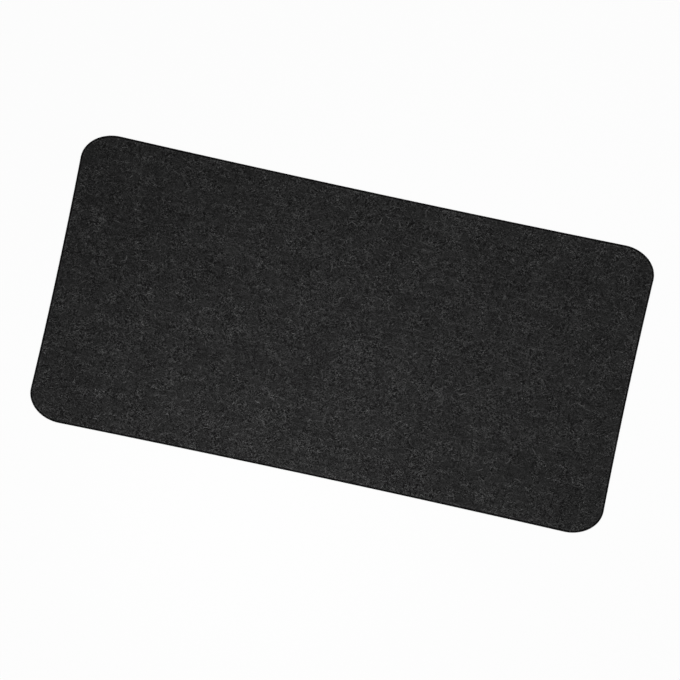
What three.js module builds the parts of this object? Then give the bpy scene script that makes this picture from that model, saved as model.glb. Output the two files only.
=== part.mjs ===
// Felt desk pad: a charcoal needled-felt face, bonded by a hot-melt film to a thin rubber base.
// Units are millimetres, +Z is up, and the origin is the middle of the face that lies on the desk.
// The pad's long sides run along X.
import * as THREE from "three";

// Driving dimensions
const padLength = 800;
const padWidth = 400;
const cornerLength = 47; // how much of a long side each corner takes up
const cornerWidth = 38; // the same on a short side
const longSideDrawIn = 2.25; // how far a long side bows in between its corners
const shortSideDrawIn = 1.8; // the same on a short side
const baseThickness = 1.25;
const filmThickness = 0.25;
const feltThickness = 2.5;
const feltEdgeRound = 0.8; // the knife rolls the felt's upper edge over

// How finely curves are cut into flats
const sideSteps = 12;
const cornerSteps = 24;
const edgeRoundSteps = 4;

// Heights of the faces where the layers meet, from the desk up
const baseTop = baseThickness;
const filmTop = baseTop + filmThickness;
const padTop = filmTop + feltThickness;

// The pad's outline seen from above, counter-clockwise from the front right corner, drawn in
// all round by inset. Every inset gives the same number of points.
function outline(inset) {
  const x = padLength / 2 - inset;
  const y = padWidth / 2 - inset;
  const roundX = cornerLength - inset;
  const roundY = cornerWidth - inset;
  const quarterTurn = Math.PI / 2;
  const corners = [[1, -1], [1, 1], [-1, 1], [-1, -1]].map(([right, back], i) => {
    const from = (i - 1) * quarterTurn;
    const centre = [right * (x - roundX), back * (y - roundY)];
    return new THREE.EllipseCurve(...centre, roundX, roundY, from, from + quarterTurn);
  });
  // A side's control point lies twice as far in as the side bows
  const controls = [
    new THREE.Vector2(x - 2 * shortSideDrawIn, 0),
    new THREE.Vector2(0, y - 2 * longSideDrawIn),
    new THREE.Vector2(2 * shortSideDrawIn - x, 0),
    new THREE.Vector2(0, 2 * longSideDrawIn - y),
  ];
  return corners.flatMap((corner, i) => {
    const next = corners[(i + 1) % corners.length];
    const side = new THREE.QuadraticBezierCurve(corner.getPoint(1), controls[i], next.getPoint(0));
    // Each curve's last point is the first of the next curve
    return [...corner.getPoints(cornerSteps).slice(0, -1), ...side.getPoints(sideSteps).slice(0, -1)];
  });
}

// A closed sheet through outlines stacked upwards. Each level is { inset, height }.
// Sheets that share a height share that face exactly, so bonded layers touch without overlap.
function sheet(levels) {
  const rings = levels.map((level) => outline(level.inset));
  const count = rings[0].length;
  const positions = rings.flatMap((ring, i) => ring.flatMap((p) => [p.x, p.y, levels[i].height]));
  const indices = [];
  for (let i = 0; i + 1 < rings.length; i++) {
    for (let j = 0; j < count; j++) {
      const low = i * count + j;
      const lowNext = i * count + ((j + 1) % count);
      indices.push(low, lowNext, lowNext + count);
      indices.push(low, lowNext + count, low + count);
    }
  }
  const topRing = (rings.length - 1) * count;
  for (const [a, b, c] of THREE.ShapeUtils.triangulateShape(rings[0], [])) {
    indices.push(c, b, a);
  }
  for (const [a, b, c] of THREE.ShapeUtils.triangulateShape(rings[rings.length - 1], [])) {
    indices.push(topRing + a, topRing + b, topRing + c);
  }
  const geometry = new THREE.BufferGeometry();
  geometry.setAttribute("position", new THREE.Float32BufferAttribute(positions, 3));
  geometry.setIndex(indices);
  geometry.computeVertexNormals();
  return geometry;
}

// A sheet with square edges between two heights
function flatSheet(bottom, top) {
  return sheet([
    { inset: 0, height: bottom },
    { inset: 0, height: top },
  ]);
}

// Needled felt, which carries the keyboard and mouse. Its upper edge is rounded over.
function feltFace() {
  const levels = [{ inset: 0, height: filmTop }];
  for (let i = 0; i <= edgeRoundSteps; i++) {
    const turn = (i / edgeRoundSteps) * (Math.PI / 2);
    levels.push({
      inset: feltEdgeRound * (1 - Math.cos(turn)),
      height: padTop - feltEdgeRound * (1 - Math.sin(turn)),
    });
  }
  return sheet(levels);
}

// Hot-melt film, which bonds the felt to the base
function bondingFilm() {
  return flatSheet(baseTop, filmTop);
}

// Rubber base, which grips the desk
function rubberBase() {
  return flatSheet(0, baseTop);
}

const finishes = {
  felt: new THREE.MeshStandardMaterial({ color: 0x282828, roughness: 0.95, metalness: 0 }),
  film: new THREE.MeshStandardMaterial({ color: 0x3a3a3a, roughness: 0.45, metalness: 0 }),
  rubber: new THREE.MeshStandardMaterial({ color: 0x1c1c1c, roughness: 0.8, metalness: 0 }),
};

function piece(name, geometry, finish) {
  const mesh = new THREE.Mesh(geometry, finish);
  mesh.name = name;
  return mesh;
}

const deskPad = new THREE.Group();
deskPad.add(piece("rubber_base", rubberBase(), finishes.rubber));
deskPad.add(piece("bonding_film", bondingFilm(), finishes.film));
deskPad.add(piece("felt_face", feltFace(), finishes.felt));

export default deskPad;
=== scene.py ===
"""Charcoal felt desk pad, lying on a white floor and seen from straight above."""

import math
import random
from collections import namedtuple
from functools import cache

import bmesh
import bpy
from mathutils import Matrix, Vector, noise


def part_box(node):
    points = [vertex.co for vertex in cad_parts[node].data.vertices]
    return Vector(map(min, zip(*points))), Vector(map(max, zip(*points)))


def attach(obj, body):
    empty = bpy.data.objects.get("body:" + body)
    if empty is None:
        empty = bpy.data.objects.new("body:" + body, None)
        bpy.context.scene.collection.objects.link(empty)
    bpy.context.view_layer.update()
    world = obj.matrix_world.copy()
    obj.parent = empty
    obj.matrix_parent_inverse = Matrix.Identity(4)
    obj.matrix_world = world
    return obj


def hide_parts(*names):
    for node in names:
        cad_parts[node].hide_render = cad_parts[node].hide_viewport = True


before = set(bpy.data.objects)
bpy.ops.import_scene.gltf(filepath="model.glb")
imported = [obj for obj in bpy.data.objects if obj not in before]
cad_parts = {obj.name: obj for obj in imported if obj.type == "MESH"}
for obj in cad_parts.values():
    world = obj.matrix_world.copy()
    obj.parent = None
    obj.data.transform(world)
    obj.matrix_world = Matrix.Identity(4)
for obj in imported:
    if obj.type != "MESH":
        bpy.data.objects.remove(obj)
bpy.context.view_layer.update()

MM = 0.001

# The pad's outline and heights, as in the solids
FELT_LOW, FELT_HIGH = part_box("felt_face")
BASE_LOW, BASE_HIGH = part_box("rubber_base")
HALF_LENGTH = FELT_HIGH.x
HALF_WIDTH = FELT_HIGH.y
CORNER_LENGTH = 47 * MM  # how much of a long side each corner takes up
CORNER_WIDTH = 38 * MM  # the same on a short side
LONG_SIDE_DRAW_IN = 2.25 * MM
SHORT_SIDE_DRAW_IN = 1.8 * MM
FELT_EDGE_ROUND = 0.8 * MM

# Felt sheet
FELT_CELL = 2 * MM
EDGE_ROUND_STEPS = 4
CUT_ROUGHNESS = 0.10 * MM
RELIEF = ((14 * MM, 0.10 * MM), (5 * MM, 0.07 * MM))  # wavelength and depth
FACING_UP = 0.999  # a face's normal along Z, on the flat of the felt

# Rubber base and the grip dots under it
BASE_OUTLINE_POINTS = 1440
DOT_PITCH = 8 * MM
DOT_RADIUS = 2.1 * MM
DOT_TIP_RADIUS = 1.6 * MM
DOT_HEIGHT = 0.35 * MM
DOT_SINK = 0.1 * MM  # how far a dot runs into the sheet
DOT_SIDES = 8
DOT_MARGIN = 9 * MM  # from the edge to a dot's middle

# Loose fibres, thin at their tips
FIBRE_SEED = 7
FIBRE_POINTS = 6
FIBRE_RADIUS = 0.085 * MM
FIBRE_TIP = 0.35  # share of that radius
Greys = namedtuple("Greys", "darkest paler rarity")  # a high rarity makes few of them pale

# Tufts of fibres lying on the felt. Ranges are in millimetres, and angles in radians.
FIBRE_PIECES = 3
TUFTS_IN_PIECE = 420
FIBRES_IN_TUFT = 7
TUFT_LENGTHS = (4, 14)
TUFT_WIDTH = 1.1 * MM
TUFT_MARGIN = 5 * MM  # from the edge
TUFT_SLANT = 1.0  # spread of the headings about X
TUFT_CURL = 0.3  # turn at each point, alike along the tuft
TUFT_WANDER = 0.2  # turn at each point, by chance
TUFT_RISES = (0.05, 0.2)
TUFT_SINK = 0.06 * MM  # of a fibre's ends
TUFT_GREYS = Greys(darkest=0.012, paler=0.10, rarity=3)
GREYS_IN_TUFT = (0.6, 1.4)  # of the tuft's own grey

# Fibre ends standing out of the cut edge. Ranges are in millimetres, or shares of the reach.
EDGE_FIBRES = 2400
EDGE_ROOT = 0.3 * MM  # how far inside the edge they start
EDGE_CLEAR_BELOW = 0.2 * MM  # from the felt's underside
EDGE_CLEAR_ABOVE = 0.4 * MM  # from the felt's top
EDGE_REACHES = (0.2, 0.65)
EDGE_DROOPS = (-0.5, 0.4)
EDGE_SLANT = 0.7
EDGE_GREYS = Greys(darkest=0.010, paler=0.04, rarity=2)

# Strands in the felt's colour, in layers over each other. Each lies in a cell of a scatter.
# Cells and widths are in millimetres, and the spread of directions about X is in radians.
Strands = namedtuple("Strands", "cell width spread layers dark pale seed")
BUNDLES = Strands(cell=2.05, width=0.76, spread=2 * math.pi, layers=8, dark=0.13, pale=2.35, seed=3.0)
FINE_STRANDS = Strands(cell=2.4, width=0.30, spread=2 * math.pi, layers=5, dark=0.55, pale=1.65, seed=40.0)
WISPS = Strands(cell=10.0, width=1.3, spread=1.5, layers=4, dark=0.72, pale=1.4, seed=80.0)
LAYER_SHIFTS = (17.3, 9.1, 5.7)  # from one layer's scatter to the next, in cells
CELL_FLATNESS = 3.0
STRAND_BOW = 1.6
STRAND_END, STRAND_FULL = 0.6, 0.45  # where it ends and where it is full, from its middle, in cells
STRAND_SIDE, STRAND_CORE = 0.5, 0.3  # the same across it, in widths
SHADOW_REACH = 1.0  # painted shadow that a strand casts on the strands under it: its reach from the strand's middle, in widths
SHADOW_DEPTH = 0.3
TONE_ENDS = (0.15, 0.85)  # the random numbers that give the darkest and the palest strands
LAY = 1.5  # how much longer strands are along X
SWAY_SCALE, SWAY_DETAIL = 0.3, 1.0  # of the noise that bends the strands, for each millimetre
SWAY_REACH = 2.0  # from one side to the other, in millimetres
CUT_FLATNESS = 3.0  # how much flatter the cells are on the cut edge, where the fibres show their layers
CUT_START = 0.25  # how far under the felt's top that begins, in millimetres

# Changes over a finish, by noise with that scale for each millimetre. The value is the least where the
# noise is at its low number, and the most where it is at its high one.
Drift = namedtuple("Drift", "scale detail low high least most")
FELT_CLUMPS = Drift(scale=0.055, detail=0.0, low=0.2, high=0.8, least=0.88, most=1.12)
FELT_CLOUDS = Drift(scale=0.02, detail=1.0, low=0.2, high=0.8, least=0.87, most=1.13)
FELT_CONTRAST = Drift(scale=0.065, detail=1.0, low=0.3, high=0.7, least=0.25, most=1.6)
RIM_RAGGED = Drift(scale=0.9, detail=2.0, low=0.3, high=0.7, least=-0.4, most=0.4)  # millimetres
FIBRE_PATCHES = Drift(scale=0.5, detail=1.0, low=0.2, high=0.8, least=0.7, most=1.3)
RUBBER_DUST = Drift(scale=0.05, detail=4.0, low=0.3, high=0.7, least=0.009, most=0.014)  # grey
RUBBER_GRAIN = Drift(scale=2.2, detail=3.0, low=0.3, high=0.7, least=0.7, most=0.9)  # roughness
FILM_SMEAR = Drift(scale=0.4, detail=3.0, low=0.3, high=0.7, least=0.03, most=0.055)  # grey
FILM_DULLNESS = FILM_SMEAR._replace(least=0.35, most=0.6)  # roughness

# Finishes
FELT_LEVEL = 0.0349  # grey of the felt where its tone is 1
EVEN_TONE = 1.05  # the tone of bundles that is the same in loose and in matted patches
RIM_REACH = 8.0  # how far in from the cut the rim's tones and painted shade reach, in millimetres
# Distance from the cut edge in millimetres, and tone. The dark line is partly the cut fibres' darker grey
# and partly painted shade of the rolled edge.
RIM_TONES_AND_SHADE = ((0.05, 0.7), (0.25, 0.06), (2.4, 0.06), (3.0, 1.0), (3.5, 1.5), (4.8, 1.0))
RUBBER_TIP_TONE, RUBBER_TONE = 1.6, 0.8  # tone at the dots' tips, worn paler, and on the rest; the darker rest between the dots is partly painted shade
FELT_SURFACE = {"Roughness": 0.95, "Specular IOR Level": 0.1, "Sheen Weight": 0.04}
FIBRE_SURFACE = {"Roughness": 0.7, "Specular IOR Level": 0.2}
RUBBER_SURFACE = {"Specular IOR Level": 0.3}
BUMP_STRENGTH = 0.4
FELT_BUMP = 0.2 * MM
RUBBER_BUMP = 0.1 * MM

# Camera: straight down, turned so that the pad lies as photographed
PHOTO_SIZE = 680  # pixels
PAD_CENTRE_PX = (342.16, 334.13)
PAD_TURN = math.radians(12.155)
METRES_PER_PX = 1.3648 * MM
LENS = 85.0  # mm
SENSOR = 36.0  # mm

# Light and background
Lamp = namedtuple("Lamp", "place width power")
LAMPS = {
    "key_lamp": Lamp(place=(-0.12, -0.285, 0.42), width=0.30, power=1.10),
    "fill_lamp": Lamp(place=(0.225, -0.014, 0.87), width=0.45, power=3.56),
}
SKY_LEVEL = 0.40  # as light
SKY_WHITE = 0.983  # where it is seen
FLOOR_HALF = 30.0  # metres
FLOOR_DROP = 0.2 * MM
FLOOR_GLOW = 0.959  # where it is seen
FLOOR_COLOUR = 0.025  # how much light and shadow show on top of the glow
FLOOR_BOUNCE = 0.8  # grey of the floor for the light that it throws back


def pad_point(across, along, inset=0.0):
    """The place on the pad, drawn in by inset, of a point of a plain square that runs from -1 to 1.

    Squares about a corner's centre become quarter rings, and the sides bow in."""
    half_x, half_y = HALF_LENGTH - inset, HALF_WIDTH - inset
    round_x, round_y = CORNER_LENGTH - inset, CORNER_WIDTH - inset
    straight_x, straight_y = half_x - round_x, half_y - round_y
    x, y = across * half_x, along * half_y
    past_x = max(abs(x) - straight_x, 0.0) / round_x
    past_y = max(abs(y) - straight_y, 0.0) / round_y
    if past_x and past_y:
        ring = max(past_x, past_y)
        turn = math.pi / 4 * (past_y / past_x if past_x > past_y else 2 - past_x / past_y)
        x = math.copysign(straight_x + round_x * ring * math.cos(turn), x)
        y = math.copysign(straight_y + round_y * ring * math.sin(turn), y)
    long_bow = LONG_SIDE_DRAW_IN * max(1 - (x / straight_x) ** 2, 0.0)
    short_bow = SHORT_SIDE_DRAW_IN * max(1 - (y / straight_y) ** 2, 0.0)
    return Vector((x * (1 - short_bow / half_x), y * (1 - long_bow / half_y), 0.0))


def felt_relief(x, y):
    """Height of the matted surface above its mean."""
    return sum(depth * noise.noise((x / wave, y / wave, wave / MM)) for wave, depth in RELIEF)


def add_object(name, data):
    """A new object in the scene."""
    thing = bpy.data.objects.new(name, data)
    bpy.context.scene.collection.objects.link(thing)
    return thing


def add_piece(name, mesh, material):
    """An object of the desk pad, riding on its only body."""
    piece = add_object(name, mesh)
    mesh.materials.append(material)
    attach(piece, "root")
    return piece


def finished_mesh(bm, name):
    """The bmesh as a mesh."""
    mesh = bpy.data.meshes.new(name)
    bm.to_mesh(mesh)
    bm.free()
    return mesh


def next_ring(bm, rim, place):
    """Extrudes the open rim and moves the new vertices to where place puts them. Returns the new rim."""
    grown = bmesh.ops.extrude_edge_only(bm, edges=rim)["geom"]
    for v in grown:
        if isinstance(v, bmesh.types.BMVert):
            v.co = place(v)
    return [e for e in grown if isinstance(e, bmesh.types.BMEdge) and e.is_boundary]


def close_rim(bm, rim):
    """Closes a sheet with a flat face that meets its rim at a sharp edge."""
    for edge in rim:
        edge.smooth = False
    bmesh.ops.edgeloop_fill(bm, edges=rim)


def finished_sheet(bm, name):
    """The closed sheet as a mesh, with its faces outwards and smooth between its sharp edges."""
    bmesh.ops.recalc_face_normals(bm, faces=bm.faces)
    for face in bm.faces:
        face.smooth = True
    return finished_mesh(bm, name)


def felt_sheet_mesh():
    """The felt: a matted top, an edge rolled over by the knife, a slightly ragged cut, a flat underside.

    It starts as a grid over the square of pad_point, and each vertex keeps its place on that square and
    its distance from the cut edge in millimetres."""
    bm = bmesh.new()
    across = bm.verts.layers.float.new("across")
    along = bm.verts.layers.float.new("along")
    from_edge = bm.verts.layers.float.new("from_edge")
    columns, rows = round(2 * HALF_LENGTH / FELT_CELL), round(2 * HALF_WIDTH / FELT_CELL)
    bmesh.ops.create_grid(bm, x_segments=columns, y_segments=rows, size=1)
    for v in bm.verts:
        v[across], v[along] = v.co.x, v.co.y
        v.co = pad_point(v[across], v[along], FELT_EDGE_ROUND)
        v.co.z = FELT_HIGH.z + felt_relief(v.co.x, v.co.y)
        inside = min((1 - abs(v[across])) * HALF_LENGTH, (1 - abs(v[along])) * HALF_WIDTH)
        v[from_edge] = (inside + FELT_EDGE_ROUND) / MM

    def ring_at(inset, height):
        def place(v):
            at = pad_point(v[across], v[along], inset)
            ragged = CUT_ROUGHNESS * noise.noise((at.x / MM, at.y / MM, height / MM))
            outward = pad_point(v[across], v[along], inset - MM) - at
            at += outward.normalized() * ragged
            at.z = height
            return at

        return place

    rim = [e for e in bm.edges if e.is_boundary]
    for step in range(1, EDGE_ROUND_STEPS + 1):
        turn = math.pi / 2 * step / EDGE_ROUND_STEPS
        inset = FELT_EDGE_ROUND * (1 - math.sin(turn))
        drop = FELT_EDGE_ROUND * (1 - math.cos(turn))
        rim = next_ring(bm, rim, ring_at(inset, FELT_HIGH.z - drop))
        for v in {v for e in rim for v in e.verts}:
            v[from_edge] = inset / MM
    cut_middle = (FELT_HIGH.z - FELT_EDGE_ROUND + FELT_LOW.z) / 2
    for height in (cut_middle, FELT_LOW.z):
        rim = next_ring(bm, rim, ring_at(0.0, height))
    close_rim(bm, rim)
    return finished_sheet(bm, "felt_sheet")


def grip_base_mesh():
    """The rubber base without its dots: a flat sheet with square edges."""
    bm = bmesh.new()
    bmesh.ops.create_circle(bm, segments=BASE_OUTLINE_POINTS, radius=1)
    for v in bm.verts:
        side = max(abs(v.co.x), abs(v.co.y))
        v.co = pad_point(v.co.x / side, v.co.y / side)
        v.co.z = BASE_LOW.z + DOT_HEIGHT
    low_rim = list(bm.edges)
    high_rim = next_ring(bm, low_rim, lambda v: Vector((v.co.x, v.co.y, BASE_HIGH.z)))
    close_rim(bm, low_rim)
    close_rim(bm, high_rim)
    return finished_sheet(bm, "grip_base")


def dot_fits(x, y):
    """Whether a grip dot at this place stays clear of the base's edge."""
    past_x = (abs(x) - HALF_LENGTH + CORNER_LENGTH) / (CORNER_LENGTH - DOT_MARGIN)
    past_y = (abs(y) - HALF_WIDTH + CORNER_WIDTH) / (CORNER_WIDTH - DOT_MARGIN)
    return math.hypot(max(past_x, 0.0), max(past_y, 0.0)) < 1


def grip_dots_mesh():
    """Low round dots under the rubber base, in staggered rows about its middle."""
    bm = bmesh.new()
    row_step = Vector((DOT_PITCH / 2, DOT_PITCH * math.sqrt(3) / 2, 0))
    column_step = Vector((DOT_PITCH, 0, 0))
    pair_step = Vector((0, 2 * row_step.y, 0))
    columns = math.ceil(HALF_LENGTH / column_step.x)
    pairs = math.ceil(HALF_WIDTH / pair_step.y)
    first = -columns * column_step - pairs * pair_step
    first.z = BASE_LOW.z + (DOT_HEIGHT + DOT_SINK) / 2
    for place in (first, first + row_step):
        bmesh.ops.create_cone(
            bm,
            cap_ends=True,
            segments=DOT_SIDES,
            radius1=DOT_TIP_RADIUS,
            radius2=DOT_RADIUS,
            depth=DOT_HEIGHT + DOT_SINK,
            matrix=Matrix.Translation(place),
        )
    for step, count in ((column_step, columns), (pair_step, pairs)):
        dots = bm.verts[:] + bm.edges[:] + bm.faces[:]
        bmesh.ops.spin(bm, geom=dots, axis=(0, 0, 1), dvec=step, steps=2 * count, use_duplicate=True)
    ends = [face for face in bm.faces if len(face.verts) == DOT_SIDES]
    outside = {v for face in ends if not dot_fits(*face.calc_center_median().xy) for v in face.verts}
    bmesh.ops.delete(bm, geom=list(outside), context="VERTS")
    bmesh.ops.recalc_face_normals(bm, faces=bm.faces)
    return finished_mesh(bm, "grip_dots")


def fibre_mesh(name, paths, shades):
    """Thin closed strands along the paths, each with its own shade of grey."""
    curve = bpy.data.curves.new(name, "CURVE")
    curve.dimensions = "3D"
    curve.bevel_depth = FIBRE_RADIUS
    curve.bevel_resolution = 0
    curve.use_fill_caps = True
    for path in paths:
        spline = curve.splines.new("POLY")
        spline.points.add(len(path) - 1)
        for i, (point, at) in enumerate(zip(spline.points, path)):
            point.co = (*at, 1.0)
            point.radius = FIBRE_TIP + (1 - FIBRE_TIP) * math.sin(math.pi * i / (len(path) - 1))
    holder = add_object(name, curve)
    shown = holder.evaluated_get(bpy.context.evaluated_depsgraph_get())
    mesh = bpy.data.meshes.new_from_object(shown)
    mesh.name = name
    bpy.data.objects.remove(holder)
    bpy.data.curves.remove(curve)
    per_fibre = len(mesh.vertices) // len(paths)
    shade = mesh.attributes.new("fibre_shade", "FLOAT", "POINT")
    shade.data.foreach_set("value", [s for s in shades for _ in range(per_fibre)])
    return mesh


def tuft_line(draw):
    """The wandering middle of a tuft: places on the felt before its corners are rounded, and headings."""
    x, y = draw.uniform(-1, 1) * HALF_LENGTH, draw.uniform(-1, 1) * HALF_WIDTH
    step = draw.uniform(*TUFT_LENGTHS) * MM / (FIBRE_POINTS - 1)
    heading = draw.gauss(0, TUFT_SLANT) + (math.pi if draw.random() < 0.5 else 0)
    curl = draw.gauss(0, TUFT_CURL)
    line = []
    for _ in range(FIBRE_POINTS):
        line.append((x, y, heading))
        heading += curl + draw.gauss(0, TUFT_WANDER)
        x += step * math.cos(heading)
        y += step * math.sin(heading)
    return line


def tuft_fibre(draw, line):
    """One fibre of a tuft, lying on the felt with both ends sunk in."""
    start, end = draw.gauss(0, TUFT_WIDTH / 2), draw.gauss(0, TUFT_WIDTH / 2)
    rise = draw.uniform(*TUFT_RISES) * MM
    path = []
    for i, (x, y, heading) in enumerate(line):
        t = i / (FIBRE_POINTS - 1)
        aside = start + (end - start) * t
        x, y = x - aside * math.sin(heading), y + aside * math.cos(heading)
        at = pad_point(x / HALF_LENGTH, y / HALF_WIDTH, FELT_EDGE_ROUND)
        at.z = FELT_HIGH.z + felt_relief(at.x, at.y) + math.sin(math.pi * t) * rise - TUFT_SINK
        path.append(at)
    return path


def tuft(draw):
    """Fibres that lie beside each other on the felt, clear of its edge: they wander together."""
    reach_x, reach_y = HALF_LENGTH - TUFT_MARGIN, HALF_WIDTH - TUFT_MARGIN
    line = tuft_line(draw)
    while any(abs(x) > reach_x or abs(y) > reach_y for x, y, heading in line):
        line = tuft_line(draw)
    return [tuft_fibre(draw, line) for _ in range(FIBRES_IN_TUFT)]


def edge_fibre(draw):
    """One short fibre end standing out of the cut edge."""
    side, along = draw.choice("xXyY"), draw.uniform(-1, 1)
    square = {"x": (-1, along), "X": (1, along), "y": (along, -1), "Y": (along, 1)}[side]
    root = pad_point(*square, EDGE_ROOT)
    outward = (pad_point(*square, -MM) - root).normalized()
    sideways = Vector((-outward.y, outward.x, 0)) * draw.gauss(0, EDGE_SLANT)
    root.z = draw.uniform(FELT_LOW.z + EDGE_CLEAR_BELOW, FELT_HIGH.z - EDGE_CLEAR_ABOVE)
    reach = draw.uniform(*EDGE_REACHES) * MM
    droop = draw.uniform(*EDGE_DROOPS)
    path = []
    for i in range(FIBRE_POINTS):
        t = i / (FIBRE_POINTS - 1)
        at = root + (outward * t + sideways * t * t) * reach
        at.z += droop * reach * t * t
        path.append(at)
    return path


def random_grey(draw, greys):
    """A grey of that range."""
    return greys.darkest + greys.paler * draw.random() ** greys.rarity


def add_loose_fibres(draw, number, material):
    """One piece of the fibres that lie on the felt."""
    tufts = [tuft(draw) for _ in range(TUFTS_IN_PIECE)]
    paths = [path for one in tufts for path in one]
    greys = [random_grey(draw, TUFT_GREYS) for _ in tufts]
    shades = [grey * draw.uniform(*GREYS_IN_TUFT) for grey in greys for _ in range(FIBRES_IN_TUFT)]
    name = f"loose_fibres_{number}"
    return add_piece(name, fibre_mesh(name, paths, shades), material)


def add_edge_fibres(draw, material):
    """The piece of the fibre ends that stand out of the cut."""
    paths = [edge_fibre(draw) for _ in range(EDGE_FIBRES)]
    shades = [random_grey(draw, EDGE_GREYS) for _ in paths]
    return add_piece("edge_fibres", fibre_mesh("edge_fibres", paths, shades), material)


def feed(tree, socket, value):
    """Links a socket to an input, or sets the input to a value."""
    if isinstance(value, bpy.types.NodeSocket):
        tree.links.new(value, socket)
    else:
        socket.default_value = value


def add_node(tree, kind, settings=None, **values):
    """A node with its settings. Each value goes to the input of that name, with _ for a space."""
    node = tree.nodes.new(kind)
    for name, setting in (settings or {}).items():
        setattr(node, name, setting)
    for name, value in values.items():
        feed(tree, node.inputs[name.replace("_", " ")], value)
    return node


def math_node(tree, operation, *values, kind="ShaderNodeMath"):
    """A number worked out from sockets or numbers."""
    node = add_node(tree, kind, {"operation": operation})
    for socket, value in zip(node.inputs, values):
        feed(tree, socket, value)
    return node.outputs[0]


def vector_node(tree, operation, *values):
    """A vector worked out from sockets or vectors."""
    return math_node(tree, operation, *values, kind="ShaderNodeVectorMath")


def product(tree, first, *others):
    """All the numbers multiplied."""
    for other in others:
        first = math_node(tree, "MULTIPLY", first, other)
    return first


def map_range(tree, value, low, high, to_low=0.0, to_high=1.0, smooth=False):
    """The value stretched from one range to another, and held at its ends."""
    node = add_node(
        tree,
        "ShaderNodeMapRange",
        {"interpolation_type": "SMOOTHSTEP" if smooth else "LINEAR"},
        Value=value,
        From_Min=low,
        From_Max=high,
        To_Min=to_low,
        To_Max=to_high,
    )
    return node.outputs["Result"]


def attribute(tree, name):
    """A mesh attribute's number."""
    return add_node(tree, "ShaderNodeAttribute", {"attribute_name": name}).outputs["Fac"]


def height_of(tree, place):
    """The Z of a place."""
    return add_node(tree, "ShaderNodeSeparateXYZ", Vector=place).outputs["Z"]


def millimetres(tree):
    """The place on the pad in millimetres."""
    place = tree.nodes.new("ShaderNodeTexCoord").outputs["Object"]
    return vector_node(tree, "MULTIPLY", place, (1 / MM, 1 / MM, 1 / MM))


def new_material(name, surface):
    """A material whose shader has these settings all over. Returns it with its tree and shader."""
    material = bpy.data.materials.new(name)
    material.use_nodes = True
    shader = material.node_tree.nodes["Principled BSDF"]
    for socket, value in surface.items():
        shader.inputs[socket].default_value = value
    return material, material.node_tree, shader


def paint_grey(tree, shader, level):
    """Colours the shader with a grey of that level."""
    colour = add_node(tree, "ShaderNodeCombineColor", Red=level, Green=level, Blue=level)
    tree.links.new(colour.outputs[0], shader.inputs["Base Color"])


def add_bump(tree, shader, height, depth):
    """Fine relief of that depth."""
    bump = add_node(tree, "ShaderNodeBump", Height=height, Strength=BUMP_STRENGTH, Distance=depth)
    tree.links.new(bump.outputs[0], shader.inputs["Normal"])


def new_group(name, vectors, numbers, results):
    """A node group with vector and number inputs, and numbers as its results.

    Returns it with the sockets that its nodes start from and end in."""
    group = bpy.data.node_groups.new(name, "ShaderNodeTree")
    for socket in vectors:
        group.interface.new_socket(socket, in_out="INPUT", socket_type="NodeSocketVector")
    for socket in numbers:
        group.interface.new_socket(socket, in_out="INPUT", socket_type="NodeSocketFloat")
    for socket in results:
        group.interface.new_socket(socket, in_out="OUTPUT", socket_type="NodeSocketFloat")
    start = group.nodes.new("NodeGroupInput").outputs
    end = group.nodes.new("NodeGroupOutput").inputs
    return group, start, end


@cache
def drift_group():
    """A change over a finish. Value follows Noise: it is Least where that is Low, and Most where High."""
    numbers = ("Scale", "Detail", "Low", "High", "Least", "Most")
    group, start, end = new_group("drift", ["Vector"], numbers, ["Noise", "Value"])
    texture = add_node(
        group,
        "ShaderNodeTexNoise",
        Vector=start["Vector"],
        Scale=start["Scale"],
        Detail=start["Detail"],
    )
    patches = texture.outputs["Fac"]
    value = map_range(group, patches, start["Low"], start["High"], start["Least"], start["Most"])
    group.links.new(patches, end["Noise"])
    group.links.new(value, end["Value"])
    return group


def drift_node(tree, place, kind):
    """The change over a finish with the values of that kind. Returns the outputs."""
    return add_node(
        tree,
        "ShaderNodeGroup",
        {"node_tree": drift_group()},
        Vector=place,
        Scale=kind.scale,
        Detail=kind.detail,
        Low=kind.low,
        High=kind.high,
        Least=kind.least,
        Most=kind.most,
    ).outputs


def drift(tree, place, kind):
    """The value alone of a change over a finish."""
    return drift_node(tree, place, kind)["Value"]


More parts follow.
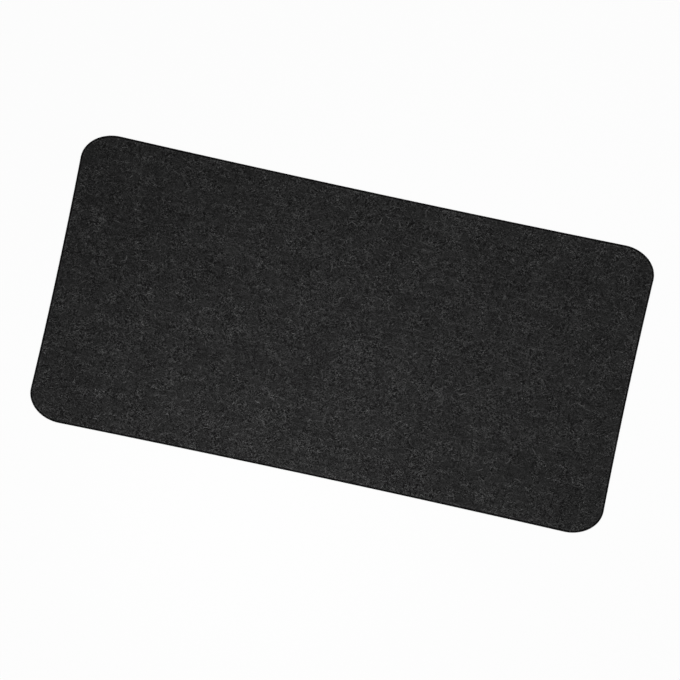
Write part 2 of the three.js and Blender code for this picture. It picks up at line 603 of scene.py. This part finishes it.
@cache
def strand_layer_group():
    """One short curved strand in each cell of a scatter, turned by at most half the spread from X.

    Lengths are in millimetres. Mask says where a strand is, Shadow where its painted shadow darkens what
    lies beside it, and Tone is its own random number from 0 to 1."""
    group, start, end = new_group(
        "strand_layer", ["Vector", "Offset"], ["Cell", "Width", "Spread"], ["Mask", "Shadow", "Tone"]
    )
    flat = vector_node(group, "MULTIPLY", start["Vector"], (1.0, 1.0, CELL_FLATNESS))
    placed = vector_node(group, "ADD", vector_node(group, "DIVIDE", flat, start["Cell"]), start["Offset"])
    scatter = add_node(group, "ShaderNodeTexVoronoi", Vector=placed, Scale=1.0).outputs
    own = add_node(group, "ShaderNodeSeparateColor", Color=scatter["Color"]).outputs
    from_middle = vector_node(group, "SUBTRACT", placed, scatter["Position"])
    turn = product(group, math_node(group, "SUBTRACT", own["Red"], 0.5), start["Spread"])
    turned = add_node(
        group, "ShaderNodeVectorRotate", {"rotation_type": "Z_AXIS"}, Vector=from_middle, Angle=turn
    )
    local = add_node(group, "ShaderNodeSeparateXYZ", Vector=turned.outputs[0]).outputs
    bow = product(group, math_node(group, "SUBTRACT", own["Blue"], 0.5), STRAND_BOW)
    bent = product(group, bow, product(group, local["X"], local["X"]))
    off = math_node(group, "ABSOLUTE", math_node(group, "ADD", local["Y"], bent))
    across = math_node(group, "DIVIDE", product(group, off, start["Cell"]), start["Width"])
    along = math_node(group, "ABSOLUTE", local["X"])
    ends = map_range(group, along, STRAND_END, STRAND_FULL)
    mask = product(group, map_range(group, across, STRAND_SIDE, STRAND_CORE, smooth=True), ends)
    shadow = product(group, map_range(group, across, SHADOW_REACH, STRAND_SIDE), ends)
    for name, value in (("Mask", mask), ("Shadow", shadow), ("Tone", own["Green"])):
        group.links.new(value, end[name])
    return group


def laid_strands(tree, place, kind):
    """Layers of strands over each other, upon a ground of the darkest tone. Returns the tone."""
    tone = None
    for i in range(kind.layers):
        shift_x, shift_y, shift_z = (i * shift for shift in LAYER_SHIFTS)
        layer = add_node(
            tree,
            "ShaderNodeGroup",
            {"node_tree": strand_layer_group()},
            Vector=place,
            Offset=(shift_x + kind.seed, shift_y, shift_z),
            Cell=kind.cell,
            Width=kind.width,
            Spread=kind.spread,
        ).outputs
        own = map_range(tree, layer["Tone"], *TONE_ENDS, kind.dark, kind.pale, smooth=True)
        ground = kind.dark
        if tone:
            # Painted shadow of this layer's strands on the tone under them
            lit = map_range(tree, layer["Shadow"], 0, 1, 1, 1 - SHADOW_DEPTH)
            ground = product(tree, tone, lit)
        tone = add_node(tree, "ShaderNodeMix", Factor=layer["Mask"], A=ground, B=own).outputs["Result"]
    return tone


def layered_place(tree):
    """The place on the pad in millimetres, stretched down the cut edge so that strands lie flat there."""
    place = millimetres(tree)
    cut_top = FELT_HIGH.z / MM - CUT_START
    below = math_node(tree, "MINIMUM", math_node(tree, "SUBTRACT", height_of(tree, place), cut_top), 0.0)
    stretch = product(tree, below, CUT_FLATNESS - 1)
    return vector_node(tree, "ADD", place, add_node(tree, "ShaderNodeCombineXYZ", Z=stretch).outputs[0])


def felt_tones(tree, place):
    """The felt's tone, and that of its fine strands alone."""
    sway = add_node(tree, "ShaderNodeTexNoise", Vector=place, Scale=SWAY_SCALE, Detail=SWAY_DETAIL)
    bend = vector_node(tree, "SUBTRACT", sway.outputs["Color"], (0.5, 0.5, 0.5))
    bend = vector_node(tree, "MULTIPLY", bend, (SWAY_REACH, SWAY_REACH, 0.0))
    bent = vector_node(tree, "ADD", place, bend)
    laid = vector_node(tree, "MULTIPLY", bent, (1 / LAY, 1.0, 1.0))
    bundles = laid_strands(tree, laid, BUNDLES)
    fine = laid_strands(tree, laid, FINE_STRANDS)
    wisps = laid_strands(tree, bent, WISPS)
    contrast = drift(tree, place, FELT_CONTRAST)
    bundles = math_node(tree, "POWER", math_node(tree, "DIVIDE", bundles, EVEN_TONE), contrast)
    clumps, clouds = drift(tree, laid, FELT_CLUMPS), drift(tree, laid, FELT_CLOUDS)
    return product(tree, bundles, fine, wisps, clumps, clouds), fine


def rim_tone_and_shade(tree, place):
    """The felt's tone along the cut: a dark line with a ragged side, partly the cut fibres' darker grey
    and partly painted shade of the rolled edge, and a paler band next to it.
    """
    distance = math_node(tree, "ADD", attribute(tree, "from_edge"), drift(tree, place, RIM_RAGGED))
    ramp = add_node(tree, "ShaderNodeValToRGB", Fac=map_range(tree, distance, 0, RIM_REACH))
    stops = ramp.color_ramp.elements
    while len(stops) < len(RIM_TONES_AND_SHADE):
        stops.new(0.5)
    for stop, (inside, tone) in zip(stops, RIM_TONES_AND_SHADE):
        stop.position = inside / RIM_REACH
        stop.color = (tone, tone, tone, 1)
    return ramp.outputs["Color"]


def felt_material():
    """Needled felt of pale and dark strands."""
    material, tree, shader = new_material("charcoal_felt", FELT_SURFACE)
    place = layered_place(tree)
    tone, fine = felt_tones(tree, place)
    # The rim's dark line is partly painted shade of the rolled edge
    paint_grey(tree, shader, product(tree, tone, rim_tone_and_shade(tree, place), FELT_LEVEL))
    add_bump(tree, shader, fine, FELT_BUMP)
    return material


def fibre_material():
    """Loose fibres, each with its own grey."""
    material, tree, shader = new_material("felt_fibre", FIBRE_SURFACE)
    patches = drift(tree, millimetres(tree), FIBRE_PATCHES)
    paint_grey(tree, shader, product(tree, attribute(tree, "fibre_shade"), patches))
    return material


def rubber_material():
    """Dusty rubber with a fine grain, paler at the tips of the dots from wear, and darker between them
    partly as painted shade.
    """
    material, tree, shader = new_material("grip_rubber", RUBBER_SURFACE)
    place = millimetres(tree)
    # Paler at the dots' tips from wear, darker on the sheet between them partly as painted shade
    wear_and_shade = map_range(tree, height_of(tree, place), 0.0, DOT_HEIGHT / MM, RUBBER_TIP_TONE, RUBBER_TONE)
    paint_grey(tree, shader, product(tree, drift(tree, place, RUBBER_DUST), wear_and_shade))
    grain = drift_node(tree, place, RUBBER_GRAIN)
    tree.links.new(grain["Value"], shader.inputs["Roughness"])
    add_bump(tree, shader, grain["Noise"], RUBBER_BUMP)
    return material


def film_material():
    """Smoky hot-melt film, smeared."""
    material, tree, shader = new_material("hot_melt_film", {})
    place = millimetres(tree)
    paint_grey(tree, shader, drift(tree, place, FILM_SMEAR))
    tree.links.new(drift(tree, place, FILM_DULLNESS), shader.inputs["Roughness"])
    return material


def seen_as_background(tree):
    """1 for rays that show the background: straight from the camera, in a reflection or through glass."""
    rays = tree.nodes.new("ShaderNodeLightPath").outputs
    seen = math_node(tree, "MAXIMUM", rays["Is Camera Ray"], rays["Is Glossy Ray"])
    return math_node(tree, "MAXIMUM", seen, rays["Is Transmission Ray"])


def floor_material():
    """A floor that is white where it is seen, keeps shadows, and throws light back as a pale one does."""
    material = bpy.data.materials.new("white_floor")
    material.use_nodes = True
    tree = material.node_tree
    tree.nodes.remove(tree.nodes["Principled BSDF"])
    glow = add_node(tree, "ShaderNodeEmission", Color=(1, 1, 1, 1), Strength=FLOOR_GLOW)
    shaded = add_node(tree, "ShaderNodeBsdfDiffuse", Color=(FLOOR_COLOUR, FLOOR_COLOUR, FLOOR_COLOUR, 1))
    plain = add_node(tree, "ShaderNodeBsdfDiffuse", Color=(FLOOR_BOUNCE, FLOOR_BOUNCE, FLOOR_BOUNCE, 1))
    white = tree.nodes.new("ShaderNodeAddShader")
    either = tree.nodes.new("ShaderNodeMixShader")
    for socket, source in zip(white.inputs, (glow, shaded)):
        tree.links.new(source.outputs[0], socket)
    choice = (seen_as_background(tree), plain.outputs[0], white.outputs[0])
    for socket, source in zip(either.inputs, choice):
        tree.links.new(source, socket)
    tree.links.new(either.outputs[0], tree.nodes["Material Output"].inputs["Surface"])
    return material


def make_floor():
    """A wide floor just under the pad."""
    bm = bmesh.new()
    bmesh.ops.create_grid(bm, x_segments=1, y_segments=1, size=FLOOR_HALF)
    bmesh.ops.translate(bm, verts=bm.verts, vec=(0, 0, -FLOOR_DROP))
    floor = add_object("floor", finished_mesh(bm, "floor"))
    floor.data.materials.append(floor_material())


def make_light():
    """Even sky light, white where it is seen, and soft lamps above the pad."""
    world = bpy.data.worlds.new("studio")
    bpy.context.scene.world = world
    world.use_nodes = True
    tree = world.node_tree
    background = tree.nodes["Background"].inputs
    background["Color"].default_value = (1, 1, 1, 1)
    level = map_range(tree, seen_as_background(tree), 0, 1, SKY_LEVEL, SKY_WHITE)
    tree.links.new(level, background["Strength"])
    for name, lamp in LAMPS.items():
        light = bpy.data.lights.new(name, "AREA")
        light.shape = "DISK"
        light.size = lamp.width
        light.energy = lamp.power
        holder = add_object(name, light)
        holder.location = lamp.place
        holder.visible_camera = False


def make_camera():
    """A camera straight above, with the pad's middle where the photograph has it."""
    data = bpy.data.cameras.new("camera")
    data.sensor_width = SENSOR
    data.lens = LENS
    camera = add_object("camera", data)
    bpy.context.scene.camera = camera
    right = Vector((math.cos(PAD_TURN), math.sin(PAD_TURN), 0))
    up = Vector((-math.sin(PAD_TURN), math.cos(PAD_TURN), 0))
    off_right = (PAD_CENTRE_PX[0] - PHOTO_SIZE / 2) * METRES_PER_PX
    off_up = (PHOTO_SIZE / 2 - PAD_CENTRE_PX[1]) * METRES_PER_PX
    height = PHOTO_SIZE * METRES_PER_PX * LENS / SENSOR
    camera.location = Vector((0, 0, FELT_HIGH.z + height)) - right * off_right - up * off_up
    camera.rotation_euler = (0, 0, PAD_TURN)


bpy.context.scene.view_settings.view_transform = "Standard"
make_camera()
make_light()
make_floor()

felt = add_piece("felt_sheet", felt_sheet_mesh(), felt_material())
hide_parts("felt_face")
rubber = rubber_material()
base = add_piece("grip_base", grip_base_mesh(), rubber)
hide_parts("rubber_base")
add_piece("grip_dots", grip_dots_mesh(), rubber)
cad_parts["bonding_film"].material_slots[0].material = film_material()

draw = random.Random(FIBRE_SEED)
fibre_look = fibre_material()
fibres = [add_loose_fibres(draw, number + 1, fibre_look) for number in range(FIBRE_PIECES)]
fibres.append(add_edge_fibres(draw, fibre_look))

solid_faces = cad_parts["felt_face"].data.polygons
flat_area = sum(face.area for face in solid_faces if face.normal.z > FACING_UP)
